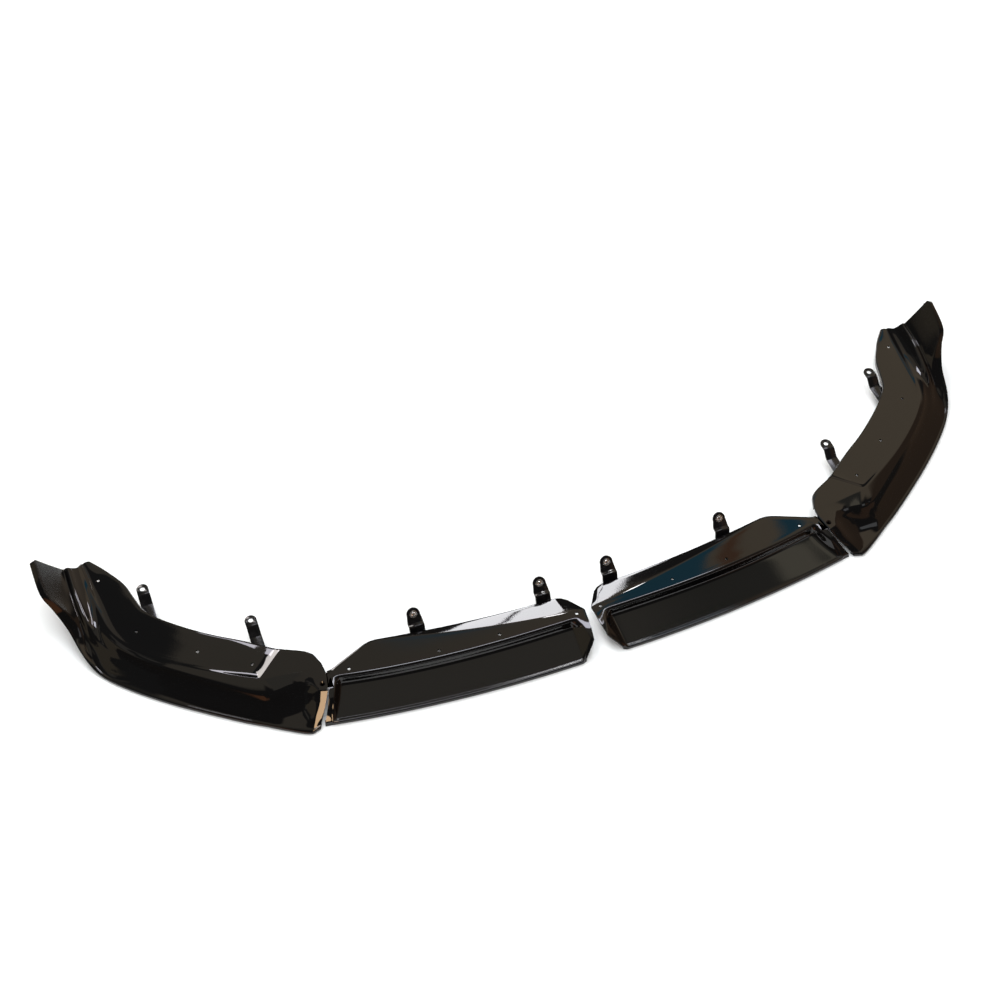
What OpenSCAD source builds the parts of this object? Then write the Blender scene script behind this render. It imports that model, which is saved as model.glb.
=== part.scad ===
// Front splitter lip: four thin moulded shells in a row, their mounting tabs and screws.
// Left and right halves are mirror images. Z is up, the front of the car faces -Y,
// the lips stand on z = 0 and x = 0 is the middle plane between the two centre shells.

/* [Overall] */
// Half of the width over the two fin tips
half_width = 928; // [880:1:970]
// Reach from the front lip of the centre shells back to the fin tips
reach = 500; // [470:1:535]
// Height of the deck face above the ground
deck_h = 33; // [29:0.5:40]
// Wall of the moulded shells
wall = 3; // [2.5:0.1:3.4]
// Depth of the turned-down edges
edge_h = 7; // [6:0.5:9]
// Height of the front lip face
lip_h = 8; // [6:0.5:10]

/* [Centre shells] */
// Gap between the two centre shells at the middle
middle_gap = 10; // [4:1:16]
// Depth of the tray below the deck at its back wall
tray_depth = 16; // [12:0.5:18]
// Drop of the rear slope behind the bend line
slope_drop = 8; // [5:0.5:10]
// Length of the tongue that lies under the pad of the outer shell
tongue_l = 27; // [20:1:32]

/* [Outer shells] */
// Drop from the deck to the top of the front channel
band_drop = 12; // [9:0.5:14]
// Rise of the fin tip above the deck
fin_rise = 71; // [60:1:80]
// Rise of the rounded ridge beside the fin above the deck
ridge_rise = 21; // [18:0.5:24]

/* [Holes] */
// Diameter of the fixing holes along the decks
deck_hole_d = 5.5; // [4.5:0.1:6.5]
// Diameter of the countersink on the lap holes
sink_d = 10; // [8.5:0.1:11]
// Diameter of the holes in the long tabs
tab_hole_d = 9; // [7:0.1:10]

/* [Tabs] */
// Width of the long tabs on the outer shells
long_w = 22; // [19:0.5:26]
// Width of the cranked tabs on the centre shells
crank_w = 29; // [26:0.5:32]
// Thickness of the tab strip
tab_t = 2.5; // [2:0.1:3]
// Height of the bosses that carry the long tabs
boss_h = 6; // [5.5:0.1:7]
// Diameter of the bosses
boss_d = 11; // [10:0.5:12]
// Shank diameter of the boss screws
boss_screw_d = 4; // [3.5:0.1:4.5]
// Shank diameter of the washer-head screws in the cranked tabs
cap_screw_d = 5; // [4:0.1:6]
// Length of the washer-head screws below the head
cap_screw_l = 13; // [11:0.5:16]
// Head diameter of the washer-head screws
cap_head_d = 14; // [12:0.5:16]
// Clearance of a screw in its hole
fit = 0.2; // [0.15:0.05:0.4]

/* [Hidden] */
$fn = 32;
kx = half_width / 928;
ky = reach / 500;
// Lines are drawn from the row of deck holes and moved so that the part is centred in depth.
y_shift = -172.75 * ky;
x_in = middle_gap / 2;
pad_z = wall;
lip_z = lip_h - deck_h;
floor_z = -tray_depth;
shell_black = "#0d0d0f";
tab_black = "#141416";
steel = "#b8babd";

// Lofted skins
function mix(a, b, t) = a + (b - a) * t;
function unit(v) = v / max(norm(v), 1e-6);
function at(p) = [p[0] * kx, p[1] * ky + y_shift, p[2] + deck_h];
function put(l) = [for (r = l) [for (p = r) at(p)]];
function bend4(a, b, c, d, t) = 0.5 * (2 * b + (c - a) * t + (2 * a - 5 * b + 4 * c - d) * t * t
  + (3 * b - a - 3 * c + d) * t * t * t);
// A smooth curve through the points of a line, n steps to a span.
function curve(l, n) = let (k = len(l) - 1) [for (i = [0:k - 1], s = [0:n - 1])
  bend4(i > 0 ? l[i - 1] : 2 * l[0] - l[1], l[i], l[i + 1],
    i < k - 1 ? l[i + 2] : 2 * l[k] - l[k - 1], s / n), l[k]];
// Direction of one face beside a grid point, and of the wall under the point.
function face_dir(g, i, j, a, b) = let (m = len(g) - 1, n = len(g[0]) - 1,
  i2 = i + a < 0 || i + a > m ? i - a : i + a, j2 = j + b < 0 || j + b > n ? j - b : j + b,
  du = (g[i2][j] - g[i][j]) * (i2 - i), dv = (g[i][j2] - g[i][j]) * (j2 - j)) unit(cross(dv, du));
function wall_dir(g, i, j) = let (f = [face_dir(g, i, j, 1, 1), face_dir(g, i, j, -1, 1),
  face_dir(g, i, j, 1, -1), face_dir(g, i, j, -1, -1)], s = unit(f[0] + f[1] + f[2] + f[3]),
  c = min([for (d = f) d * s])) s / max(0.75, c);
// A wall of even thickness under a grid of points, closed round its four edges.
module skin(g, w) {
  m = len(g);
  n = len(g[0]);
  k = m * n;
  top = [for (r = g) for (p = r) p];
  low = [for (i = [0:m - 1]) for (j = [0:n - 1]) g[i][j] - w * wall_dir(g, i, j)];
  polyhedron(points = concat(top, low), convexity = 12, faces = [
    for (i = [0:m - 2]) for (j = [0:n - 2]) let (a = i * n + j, b = a + n)
      each [[a, b, b + 1], [a, b + 1, a + 1], [k + a, k + b + 1, k + b], [k + a, k + a + 1, k + b + 1]],
    for (i = [0:m - 2]) let (a = i * n, b = a + n, c = a + n - 1, d = c + n)
      each [[b, a, k + a], [b, k + a, k + b], [c, d, k + d], [c, k + d, k + c]],
    for (j = [0:n - 2]) let (a = j, c = (m - 1) * n + j)
      each [[a, a + 1, k + a + 1], [a, k + a + 1, k + a], [c + 1, c, k + c], [c + 1, k + c, k + c + 1]]]);
}

// Centre shell: plan lines of its rear edge, bend line, tray edge and front lip
corner_x = 395;
function rear_y(x) = x < corner_x ? 52 + 30 * pow(max(x - 47, 0) / 348, 1.8)
  : mix(82, 45, (x - corner_x) / 87);
function bend_y(x) = min(8 + 72 * pow(max(x - 7, 0) / 380, 1.4), rear_y(x) - 3.5);
function tray_y(x) = -10 + 38 * pow(max(x - 28, 0) / 448, 2.5);
function front_y(x) = -83 + 42 * pow(max(x - 60, 0) / 458, 2);
function rear_z(x) = -1 - (slope_drop - 1) * pow(max(1 - (x - 47) / 348, 0), 0.8);
// One section, from the rear edge over the deck and through the tray to the lip.
function centre_section(t) = let (xr = mix(47, 470, t), xd = mix(40, 466, t), xw = mix(38, 466, t),
  xm = mix(40, 477, t), xf = mix(42, 494, t), xl = mix(43, 500, t),
  wy = tray_y(xw), fy = front_y(xl), low = lip_z - 1) [
  [xr, rear_y(xr) - 0.5, rear_z(xr) - edge_h], [xr, rear_y(xr), rear_z(xr)],
  [xd, bend_y(xd), 0], [xw, wy + 3, 0], [xw, wy + 0.8, -0.7], [xw, wy, -3],
  [xw, wy - 5, floor_z], [xm, mix(wy - 5, fy + 6.5, 0.5), mix(floor_z, low, 0.5)],
  [xf, fy + 6.5, low], [xl, fy + 4.8, low + 1], [xl, fy + 1.4, low + 1], [xl, fy, low - 1.2],
  [xl, fy, -deck_h], [xl, fy + 12, -deck_h]];
// Closed ends of the tray: the shell's edge first, then the tray's edge.
inner_end = [
  [[27, 41, -slope_drop - edge_h], [27, 41.5, -slope_drop], [x_in + 1, 6, 0], [x_in + 2.5, -8, 0],
   [x_in + 3, -16, 0], [x_in + 4, -26, -0.6], [x_in + 5, -36, -1.6], [x_in + 6.5, -46, -2.8],
   [x_in + 8.5, -57, -4.5], [x_in + 14.5, -64, -11], [x_in + 23, -71.5, -17], [x_in + 31, -79, lip_z],
   [x_in + 33, -81, -deck_h], [x_in + 44, -69, -deck_h]],
  [[36, 48, -slope_drop - edge_h], [36, 48.5, -slope_drop], [19, 8.5, 0], [26, -6, 0],
   [26.5, -9.5, -0.3], [25, -17, -0.8], [22.5, -27, -1.3], [20, -38, -2.2], [18, -52, -4.6],
   [24, -60, -11], [31.5, -68, -17], [37.5, -77.5, lip_z], [39, -81.5, -deck_h], [49, -69.5, -deck_h]]];
outer_end = [
  [[477, 47, -1 - edge_h], [477, 47.5, -1], [474, 43, 0], [474, 31, 0], [474.5, 28, -0.3], [475.5, 23, -0.8],
   [478, 13, -1.2], [482, 2, -2], [487, -8, -3.5], [493, -19, -12], [497, -29, -19.5], [502, -40.5, lip_z],
   [504, -43.5, -deck_h], [502, -32, -deck_h]],
  [[484, 46.5, -1 - edge_h], [484, 47, -1], [485, 41, 0], [486, 33, 0], [487, 26, 0], [488, 19, 0],
   [490, 11, -0.6], [493, 2, -1.6], [496, -8, -3.5], [502, -19, -12], [508, -29, -19.5], [514, -39.5, lip_z],
   [515, -42, -deck_h], [513, -31, -deck_h]]];
centre_t = [0, 0.06, 0.13, 0.22, 0.31, 0.41, 0.5, 0.6, 0.7, 0.77, 0.823, 0.88, 0.945, 1];
centre_grid = put(concat(inner_end, [for (t = centre_t) centre_section(t)], outer_end));
centre_holes = [[23.3, 2.5, 0], [170, 10, 0], [283, 16, 0], [445, 37, 0]];
lap_hole = [498.4, 22, 0];

// Outer shell: its lines from the pad round to the fin, in front view order
rear_line = [[548, 118, 0], [572, 134, 0], [608, 161, 0], [662, 196.5, 0], [718, 242, 0], [755, 281, 0],
  [768, 318, 0], [778, 353, 0], [795, 382, 0], [812, 407, 0], [829, 427, 2]];
ridge_line = [[600, 71, 3], [612, 78, 3], [655, 103, 2], [711, 139, 1], [760, 177, 0.5], [801, 218, 0.5],
  [825, 262, 1], [834, 312, 2], [838, 350, 3], [841, 386, 4], [844, 423, 5]];
band = -band_drop;
band_line = [[592, 41, band + 2], [612, 50, band + 1], [667, 92, band], [725, 137, band], [778, 182, band],
  [816, 224, band + 1], [838, 262, -7], [841, 302, 3], [845, 338, 9], [849, 374, 13], [852, 415, 16]];
crest_line = [[597, 24, -22], [622, 38, -23], [677, 80, -24], [735, 124, -24], [788, 170, -22],
  [830, 213, -18], [851, 254, -7], [858, 290, 5], [861, 324, 11], [864, 362, ridge_rise - 4],
  [866, 411, ridge_rise]];
valley_line = [[602, 8, -26], [631, 26, -27], [688, 68, -27], [745, 113, -27], [800, 160, -26],
  [844, 206, -23], [862, 251, -13], [868, 292, 1], [873, 326, 10], [875, 366, ridge_rise - 5],
  [876, 414, ridge_rise - 3]];
lip = lip_z - 1;
edge_line = [[605, -6, lip], [640, 17, lip], [698, 57, lip], [758, 102, lip], [816, 152, lip], [857, 197, lip + 0.5],
  [872, 244, -14], [876, 293, 2.5], [894, 321, 27], [914, 351, fin_rise - 24], [918, 414, fin_rise]];
foot_line = [[608, -9, -deck_h], [645, 14, -deck_h], [702, 54, -deck_h], [762, 99, -deck_h], [820, 149, -deck_h],
  [861.5, 194, -deck_h], [882.5, 237, -16], [895, 288, 3], [911, 326, 23.5], [925, 353, fin_rise - 26],
  [928, 417, fin_rise - 8]];
steps = 3;
// How far a section has turned from the channel (0) to the fin (1).
function fin_part(i) = min(max((i / steps - 5.6) / 1.8, 0), 1);
function out_dir(a, b) = unit([b[0] - a[0], b[1] - a[1], 0]);
function outer_section(i, r, d, b, c, v, e, f) = let (k = fin_part(i), o = out_dir(d, f)) [
  r + [0, -0.5, -edge_h], r, [mix(d[0], r[0], 0.12), mix(d[1], r[1], 0.12), r[2]], d,
  mix(d, b, 0.5) + [0, 0, 1.5], b, mix(b, c, 0.5) + [0, 0, mix(-1.5, -3.5, k)] - o * mix(2, 0, k), c,
  mix(c, v, 0.5) + [0, 0, mix(-0.8, 0.6, k)], v, mix(v, e, 0.5) + [0, 0, mix(0, -1.5, k)], e,
  mix(e + [0, 0, 1] + o * 2.2, mix(e, f, 0.25) + [0, 0, 0.8], k),
  f + [0, 0, mix(lip_h - 2, 2, k)] + o * mix(0.3, 0, k), f,
  f - o * mix(12, 7, k) - [0, 0, min(3 * k, f[2] + deck_h)]];
outer_body = let (r = curve(rear_line, steps), d = curve(ridge_line, steps), b = curve(band_line, steps),
  c = curve(crest_line, steps), v = curve(valley_line, steps), e = curve(edge_line, steps),
  f = curve(foot_line, steps)) [for (i = [0:len(r) - 1])
    outer_section(i, r[i], d[i], b[i], c[i], v[i], e[i], [f[i][0], f[i][1], max(f[i][2], -deck_h)])];
// The turned-down rear end beyond the last section.
outer_back = [let (l = outer_body[len(outer_body) - 1]) [for (j = [0:len(l) - 1])
  l[j] + [0.3, 1.5, j == 0 ? -1 : -edge_h + (j > 14 ? 3 : 0)]]];
function pad_section(r, d, b, c, v, e, f) = let (o = out_dir(d, f)) [
  r + [0, -0.5, -edge_h], r, mix(r, d, 0.88), d, mix(d, b, 0.5) + [0, 0, min(0.6, (d[2] - b[2]) * 0.1)], b,
  mix(b, c, 0.5) - [0, 0, min(0.8, (b[2] - c[2]) * 0.1)], c, mix(c, v, 0.5) + [0, 0, -0.4], v, mix(v, e, 0.5), e,
  e + [0, 0, 1] + o * 2.2,
  f + [0, 0, lip_h - 2] + o * 0.3, f, f - o * 10];
// The pad at the joint: its free edge, the fold past the tongue, the channel's end and the pad's bevel.
tongue_x = 480.5;
fold_x = tongue_x + tongue_l;
outer_pad = [
  pad_section([488, 64, pad_z], [486, 42, pad_z], [490, 20, pad_z], [493, 7, pad_z], [504, -12, -9.5],
    [521, -39, lip], [524, -44, -deck_h]),
  pad_section([496.5, 88, pad_z], [fold_x - 4.5, 56, pad_z], [fold_x + 4.5, 26, pad_z], [fold_x + 1.5, 12, pad_z],
    [519, -8, -10], [535, -43, lip], [539, -49, -deck_h]),
  pad_section([507.5, 97.5, pad_z], [518, 60, pad_z], [526, 36, pad_z - 3], [527, 18, -9], [534, -2, -18],
    [545, -39, lip], [548, -46, -deck_h]),
  pad_section([521.5, 105, pad_z], [545, 62, pad_z], [541, 38, -8], [546, 20, -20], [549, 0, -25],
    [555, -35, lip], [558, -41, -deck_h]),
  pad_section([540.5, 113.5, pad_z], [592, 68, pad_z], [580, 38, -9], [584, 22, -21], [588, 4, -26],
    [591, -16, lip], [594, -18.5, -deck_h])];
outer_grid = put(concat(outer_pad, outer_body, outer_back));
outer_holes = [[603.3, 105.3, 0], [688, 165.4, 0], [780.8, 245.2, 0], [822, 377.7, 0]];

// Bosses under the decks carry the tabs: x and y of the strip's middle at the rear edge
long_tabs = [[582, 140], [750, 275]];
crank_tabs = [[66.5, rear_y(66.5)], [304, rear_y(304)]];
crank_z = -slope_drop - edge_h - 2;
long_z = -wall - boss_h;
long_bosses = [-36, -18];
crank_bosses = [-8, 8];
module boss(z) translate([0, 0, z]) cylinder(h = -z - wall * 0.4, d = boss_d);
module boss_bore(z) translate([0, 0, z - 0.01]) cylinder(h = -z - wall - 0.6, d = boss_screw_d + fit);
module at_long(k) for (y = long_bosses) translate(at([long_tabs[k][0], long_tabs[k][1], 0]) + [0, y, 0]) children();
module at_crank(k) for (x = crank_bosses)
  translate(at([crank_tabs[k][0], crank_tabs[k][1], 0]) + [x, -45, 0]) children();

module deck_hole() {
  translate([0, 0, -wall * 2]) cylinder(h = wall * 3, d = deck_hole_d);
  translate([0, 0, -0.6]) cylinder(h = 2, d1 = deck_hole_d, d2 = deck_hole_d + 4);
}

module centre_shell() color(shell_black) difference() {
  union() {
    skin(centre_grid, wall);
    tongue();
    for (k = [0, 1]) at_crank(k) boss(crank_z);
  }
  for (h = centre_holes) translate(at(h)) deck_hole();
  translate(at(lap_hole) - [0, 0, wall * 2]) cylinder(h = wall * 3, d = deck_hole_d);
  for (k = [0, 1]) at_crank(k) boss_bore(crank_z);
}

// The tongue under the pad, flush with the deck, ends at the pad's fold.
module tongue() translate([0, 0, deck_h - wall]) linear_extrude(wall)
  polygon([for (p = [[tongue_x, 12], [tongue_x, 41], [tongue_x + 8, 45], [fold_x - 6, 45], [fold_x - 3, 42],
    [fold_x - 0.5, 26], [fold_x - 1.5, 17], [fold_x - 6, 13.5]]) let (q = at([p[0], p[1], 0])) [q[0], q[1]]]);

module outer_shell() color(shell_black) difference() {
  union() {
    skin(outer_grid, wall);
    for (k = [0, 1]) at_long(k) boss(long_z);
  }
  for (h = outer_holes) translate(at(h)) deck_hole();
  translate(at(lap_hole) + [0, 0, pad_z - wall * 2]) cylinder(h = wall * 3, d = deck_hole_d);
  translate(at(lap_hole) + [0, 0, pad_z - wall * 0.7])
    cylinder(h = wall * 0.7 + 0.3, d1 = deck_hole_d, d2 = sink_d + 0.3);
  for (k = [0, 1]) at_long(k) boss_bore(long_z);
}

// A bent strip along +Y: its top face follows the side path, given as y and z.
function turn(a, b) = let (d = unit(b - a)) [d[1], -d[0]];
function under(l, i) = let (k = len(l) - 1, a = turn(l[max(i - 1, 0)], l[max(i, 1)]),
  b = turn(l[min(i, k - 1)], l[min(i + 1, k)]), m = unit(a + b)) l[i] + m * tab_t / (m * a);
module bent_strip(l, w) rotate([90, 0, 90]) translate([0, 0, -w / 2]) linear_extrude(w)
  polygon(concat(l, [for (i = [len(l) - 1:-1:0]) under(l, i)]));
module round_end(w) translate([0, 0, -tab_t]) cylinder(h = tab_t, d = w);

// Long tab: a straight strip under the deck that rises behind the edge to a flat eye.
eye_z = 3.4;
long_start = -44;
long_rise = 26;
long_eye = [54, eye_z];
module long_tab(k) color(tab_black) translate(at([long_tabs[k][0], long_tabs[k][1], 0])) difference() {
  union() {
    bent_strip([[long_start, long_z], [long_rise, long_z], [long_rise + 14, eye_z], long_eye], long_w);
    translate([0, long_start, long_z]) round_end(long_w);
    translate([0, long_eye[0], eye_z]) round_end(long_w);
  }
  translate([0, long_eye[0], eye_z - tab_t * 2]) cylinder(h = tab_t * 3, d = tab_hole_d);
  for (y = long_bosses) translate([0, y, long_z - tab_t * 2]) cylinder(h = tab_t * 3, d = boss_screw_d + fit);
}

// Cranked tab: up behind the edge, a short ledge, then a leaning eye for the cap screw.
ledge_z = 0.5;
ledge_y = 10;
eye_a = 52;
eye_l = 17.5;
eye_w = crank_w - 4;
module crank_eye() translate([0, ledge_y + 6.5, ledge_z]) rotate([eye_a, 0, 0]) children();
module crank_tab(k) color(tab_black) translate(at([crank_tabs[k][0], crank_tabs[k][1], 0])) difference() {
  union() {
    bent_strip([[-54, crank_z], [3.5, crank_z], [ledge_y, ledge_z], [ledge_y + 6.5, ledge_z],
      [ledge_y + 6.5 + 5 * cos(eye_a), ledge_z + 5 * sin(eye_a)]], crank_w);
    crank_eye() {
      bent_strip([[4, 0], [eye_l, 0]], eye_w);
      translate([0, eye_l, 0]) round_end(eye_w);
    }
  }
  crank_eye() translate([0, eye_l, -tab_t * 2]) cylinder(h = tab_t * 4, d = cap_screw_d + fit);
  for (x = crank_bosses) translate([x, -45, crank_z - tab_t * 2]) cylinder(h = tab_t * 3, d = boss_screw_d + fit);
}

// Washer-head screw with a cross recess, head up, standing on z = 0. Its neck passes through the tab.
neck_l = tab_t + 0.3;
module cap_screw() color(steel) difference() {
  union() {
    cylinder(h = 1.2, d = cap_head_d);
    translate([0, 0, 1.2]) cylinder(h = 1.6, d1 = cap_head_d * 0.66, d2 = cap_head_d * 0.6);
    translate([0, 0, 2.8]) cylinder(h = 0.9, d1 = cap_head_d * 0.6, d2 = cap_head_d * 0.4);
    translate([0, 0, -neck_l - 0.01]) cylinder(h = neck_l + 0.02, d = cap_screw_d - 0.6);
    translate([0, 0, -cap_screw_l]) cylinder(h = cap_screw_l - neck_l, d = cap_screw_d);
    translate([0, 0, -cap_screw_l - 1.5]) cylinder(h = 1.51, d1 = cap_screw_d * 0.6, d2 = cap_screw_d);
  }
  for (a = [0, 90]) rotate(a) translate([-cap_head_d * 0.17, -0.5, 1.4]) cube([cap_head_d * 0.34, 1, 3]);
}
module cap_screw_at(k) translate(at([crank_tabs[k][0], crank_tabs[k][1], 0]))
  crank_eye() translate([0, eye_l, 0]) cap_screw();

// Pan-head screw that goes up through a tab into its boss; z is the seat on the boss.
module boss_screw(z) translate([0, 0, z - tab_t]) {
  translate([0, 0, -1.2]) cylinder(h = 1.2, d = boss_screw_d * 1.9);
  translate([0, 0, -2.2]) cylinder(h = 1.01, d1 = boss_screw_d * 1.2, d2 = boss_screw_d * 1.9);
  translate([0, 0, -0.5]) cylinder(h = tab_t - z - wall - 0.5, d = boss_screw_d);
}
module outer_boss_screws() color(steel) for (k = [0, 1]) at_long(k) boss_screw(long_z);
module centre_boss_screws() color(steel) for (k = [0, 1]) at_crank(k) boss_screw(crank_z);
module left() mirror([1, 0, 0]) children();

left() outer_shell();  // shell_outer_left
outer_shell();  // shell_outer_right
left() centre_shell();  // shell_centre_left
centre_shell();  // shell_centre_right
left() long_tab(1);  // tab_long_outer_left
long_tab(1);  // tab_long_outer_right
left() long_tab(0);  // tab_long_inner_left
long_tab(0);  // tab_long_inner_right
left() crank_tab(1);  // tab_cranked_outer_left
crank_tab(1);  // tab_cranked_outer_right
left() crank_tab(0);  // tab_cranked_inner_left
crank_tab(0);  // tab_cranked_inner_right
left() cap_screw_at(1);  // cap_screw_outer_left
cap_screw_at(1);  // cap_screw_outer_right
left() cap_screw_at(0);  // cap_screw_inner_left
cap_screw_at(0);  // cap_screw_inner_right
left() outer_boss_screws();  // boss_screws_outer_left
outer_boss_screws();  // boss_screws_outer_right
left() centre_boss_screws();  // boss_screws_centre_left
centre_boss_screws();  // boss_screws_centre_right
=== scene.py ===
"""Front splitter lip in gloss black: two centre shells, two outer shells, mounting tabs and screws.

Lengths are millimetres in the lip's own drawing frame (y = 0 on the row of deck holes, z = 0 on the deck)
and are turned into metres in the shared frame by place(). The left half mirrors the right half.
"""
import math

import bmesh
import bpy
from mathutils import Matrix, Vector
from mathutils.bvhtree import BVHTree


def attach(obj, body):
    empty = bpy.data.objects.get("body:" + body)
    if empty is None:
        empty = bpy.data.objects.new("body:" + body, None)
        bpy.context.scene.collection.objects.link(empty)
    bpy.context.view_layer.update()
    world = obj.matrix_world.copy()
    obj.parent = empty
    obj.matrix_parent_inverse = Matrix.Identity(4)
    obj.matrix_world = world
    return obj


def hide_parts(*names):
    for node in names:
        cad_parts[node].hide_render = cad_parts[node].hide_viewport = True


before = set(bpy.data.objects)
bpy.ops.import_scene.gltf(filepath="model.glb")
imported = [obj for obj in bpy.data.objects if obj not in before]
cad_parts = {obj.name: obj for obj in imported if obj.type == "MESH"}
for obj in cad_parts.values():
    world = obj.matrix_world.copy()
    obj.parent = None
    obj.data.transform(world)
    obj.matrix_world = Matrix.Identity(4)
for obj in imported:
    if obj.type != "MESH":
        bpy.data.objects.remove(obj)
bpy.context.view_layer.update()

# Driving sizes, as on the solids
DECK_H = 33.0
Y_SHIFT = -172.75
WALL = 3.0
EDGE_H = 7.0
LIP_H = 8.0
SLOPE_DROP = 8.0
TRAY_DEPTH = 16.0
MIDDLE_GAP = 10.0
PAD_Z = WALL
DECK_HOLE_D = 5.5
SINK_D = 10.0
BOSS_D = 11.0
BOSS_H = 6.0
BOSS_SCREW_D = 4.2
TAB_T = 2.5
LONG_W = 22.0
CRANK_W = 29.0
EYE_W = CRANK_W - 4
EYE_D = 9.0
CAP_SCREW_D = 5.0
LIP_Z = LIP_H - DECK_H
LIP = LIP_Z - 1
BAND = -3.0
UP = Vector((0, 0, 1))
SIDES = (("left", -1), ("right", 1))
# A corner rounded over this reach takes nearly half of both its faces
SMOOTH = 30.0
# Width of the narrow band of faces along each free edge
HEM = 0.7
# Edges that turn by more than this, in degrees, stay crisp
SHELL_SHARP = 38
TAB_SHARP = 32
SCREW_SHARP = 35


# Drawing helpers
def vec(x, y, z=0.0):
    return Vector((x, y, z))


def place(p, side=1):
    """A drawing point in the shared frame, in metres."""
    return Vector((side * p[0], p[1] + Y_SHIFT, p[2] + DECK_H)) / 1000


def mix(a, b, t):
    return a + (b - a) * t


def share(value, low, high):
    """0 up to low, 1 from high on."""
    return min(max((value - low) / (high - low), 0), 1)


def curve(points, steps):
    """A smooth curve through the points, with the same number of steps on each span."""
    line = [Vector(p) for p in points]
    line = [2 * line[0] - line[1], *line, 2 * line[-1] - line[-2]]
    out = []
    for a, b, c, d in zip(line, line[1:], line[2:], line[3:]):
        for s in range(steps):
            t = s / steps
            out.append(0.5 * (2 * b + (c - a) * t + (2 * a - 5 * b + 4 * c - d) * t ** 2
                              + (3 * b - a - 3 * c + d) * t ** 3))
    return out + [line[-2]]


def eased(before, at, after, reach):
    """Three points in place of a corner, with the corner rounded over that reach."""
    a = at + (before - at).normalized() * min(reach, 0.45 * (before - at).length)
    b = at + (after - at).normalized() * min(reach, 0.45 * (after - at).length)
    return a, 0.25 * a + 0.5 * at + 0.25 * b, b


def rounded(lines, reaches):
    """Rounds the corner along line i of a grid; reaches[i] is a length or a function of the point."""
    out = [lines[0]]
    for i in range(1, len(lines) - 1):
        if i not in reaches:
            out.append(lines[i])
            continue
        reach = reaches[i]
        sets = [eased(a, p, b, reach(p) if callable(reach) else reach)
                for a, p, b in zip(lines[i - 1], lines[i], lines[i + 1])]
        out.extend(list(line) for line in zip(*sets))
    return out + [lines[-1]]


def hemmed(lines, width):
    """Adds a line just inside the first and the last one, so that the free edges stay narrow."""
    first = [p + (q - p).normalized() * width for p, q in zip(lines[0], lines[1])]
    last = [p + (q - p).normalized() * width for p, q in zip(lines[-1], lines[-2])]
    return [lines[0], first, *lines[1:-1], last, lines[-1]]


def turned(grid):
    """The same grid with rows and columns exchanged."""
    return [list(line) for line in zip(*grid)]


def skin(lines, side):
    """Faces between neighbouring lines of points, with the outer side up."""
    bm = bmesh.new()
    chains = []
    for line in lines:
        verts = [bm.verts.new(place(p, side)) for p in line]
        chains.append([bm.edges.new(pair) for pair in zip(verts, verts[1:])])
    for a, b in zip(chains, chains[1:]):
        bmesh.ops.bridge_loops(bm, edges=a + b)
    bmesh.ops.recalc_face_normals(bm, faces=bm.faces)
    if sum(f.normal.z * f.calc_area() for f in bm.faces) < 0:
        bmesh.ops.reverse_faces(bm, faces=bm.faces)
    return bm


def add_object(name, bm):
    mesh = bpy.data.meshes.new(name)
    bm.to_mesh(mesh)
    bm.free()
    ob = bpy.data.objects.new(name, mesh)
    bpy.context.scene.collection.objects.link(ob)
    return ob


def cut(ob, cutter):
    """Takes the cutter's solids out of the piece."""
    m = ob.modifiers.new("cut", "BOOLEAN")
    m.operation = "DIFFERENCE"
    m.solver = "EXACT"
    m.object = cutter


def settle(ob, sharp_deg=SHELL_SHARP):
    """Applies the modifiers to the mesh, shades it smooth and keeps the crisp edges."""
    graph = bpy.context.evaluated_depsgraph_get()
    mesh = bpy.data.meshes.new_from_object(ob.evaluated_get(graph))
    cutters = [m.object for m in ob.modifiers if m.type == "BOOLEAN"]
    ob.modifiers.clear()
    ob.data = mesh
    for c in cutters:
        bpy.data.objects.remove(c)
    bm = bmesh.new()
    bm.from_mesh(mesh)
    if bm.calc_volume(signed=True) < 0:
        bmesh.ops.reverse_faces(bm, faces=bm.faces)
    bm.to_mesh(mesh)
    bm.free()
    shade(mesh, sharp_deg)
    return ob


def shade(mesh, sharp_deg):
    """Smooth shading, with the edges that turn by more than the angle kept crisp."""
    mesh.polygons.foreach_set("use_smooth", [True] * len(mesh.polygons))
    mesh.set_sharp_from_angle(angle=math.radians(sharp_deg))


def join_bmesh(bm, extra):
    """Adds the faces of another bmesh as a body of its own."""
    mesh = bpy.data.meshes.new("part")
    extra.to_mesh(mesh)
    extra.free()
    bm.from_mesh(mesh)
    bpy.data.meshes.remove(mesh)


def lathe(profile, segments=40):
    """A closed turned body about the vertical axis; the profile is radius and height, from axis to axis."""
    bm = bmesh.new()
    verts = [bm.verts.new((r / 1000, 0, z / 1000)) for r, z in profile]
    edges = [bm.edges.new(pair) for pair in zip(verts, verts[1:])]
    bmesh.ops.spin(bm, geom=verts + edges, cent=(0, 0, 0), axis=(0, 0, 1), angle=2 * math.pi,
                   steps=segments, use_merge=True, use_duplicate=False)
    bmesh.ops.remove_doubles(bm, verts=bm.verts, dist=1e-6)
    bmesh.ops.recalc_face_normals(bm, faces=bm.faces)
    return bm


def lathes(places, profile, segments=40):
    """The same turned body at each place; the places are drawing points on the deck's height."""
    bm = bmesh.new()
    for x, y in places:
        one = lathe(profile, segments)
        bmesh.ops.translate(one, vec=place((x, y, 0)), verts=one.verts)
        join_bmesh(bm, one)
    return bm


def mirror_bmesh(bm, side):
    """Turns a right-hand body into a left-hand one where the side is the left."""
    if side < 0:
        bmesh.ops.scale(bm, vec=(-1, 1, 1), verts=bm.verts)
        bmesh.ops.reverse_faces(bm, faces=bm.faces)


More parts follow.
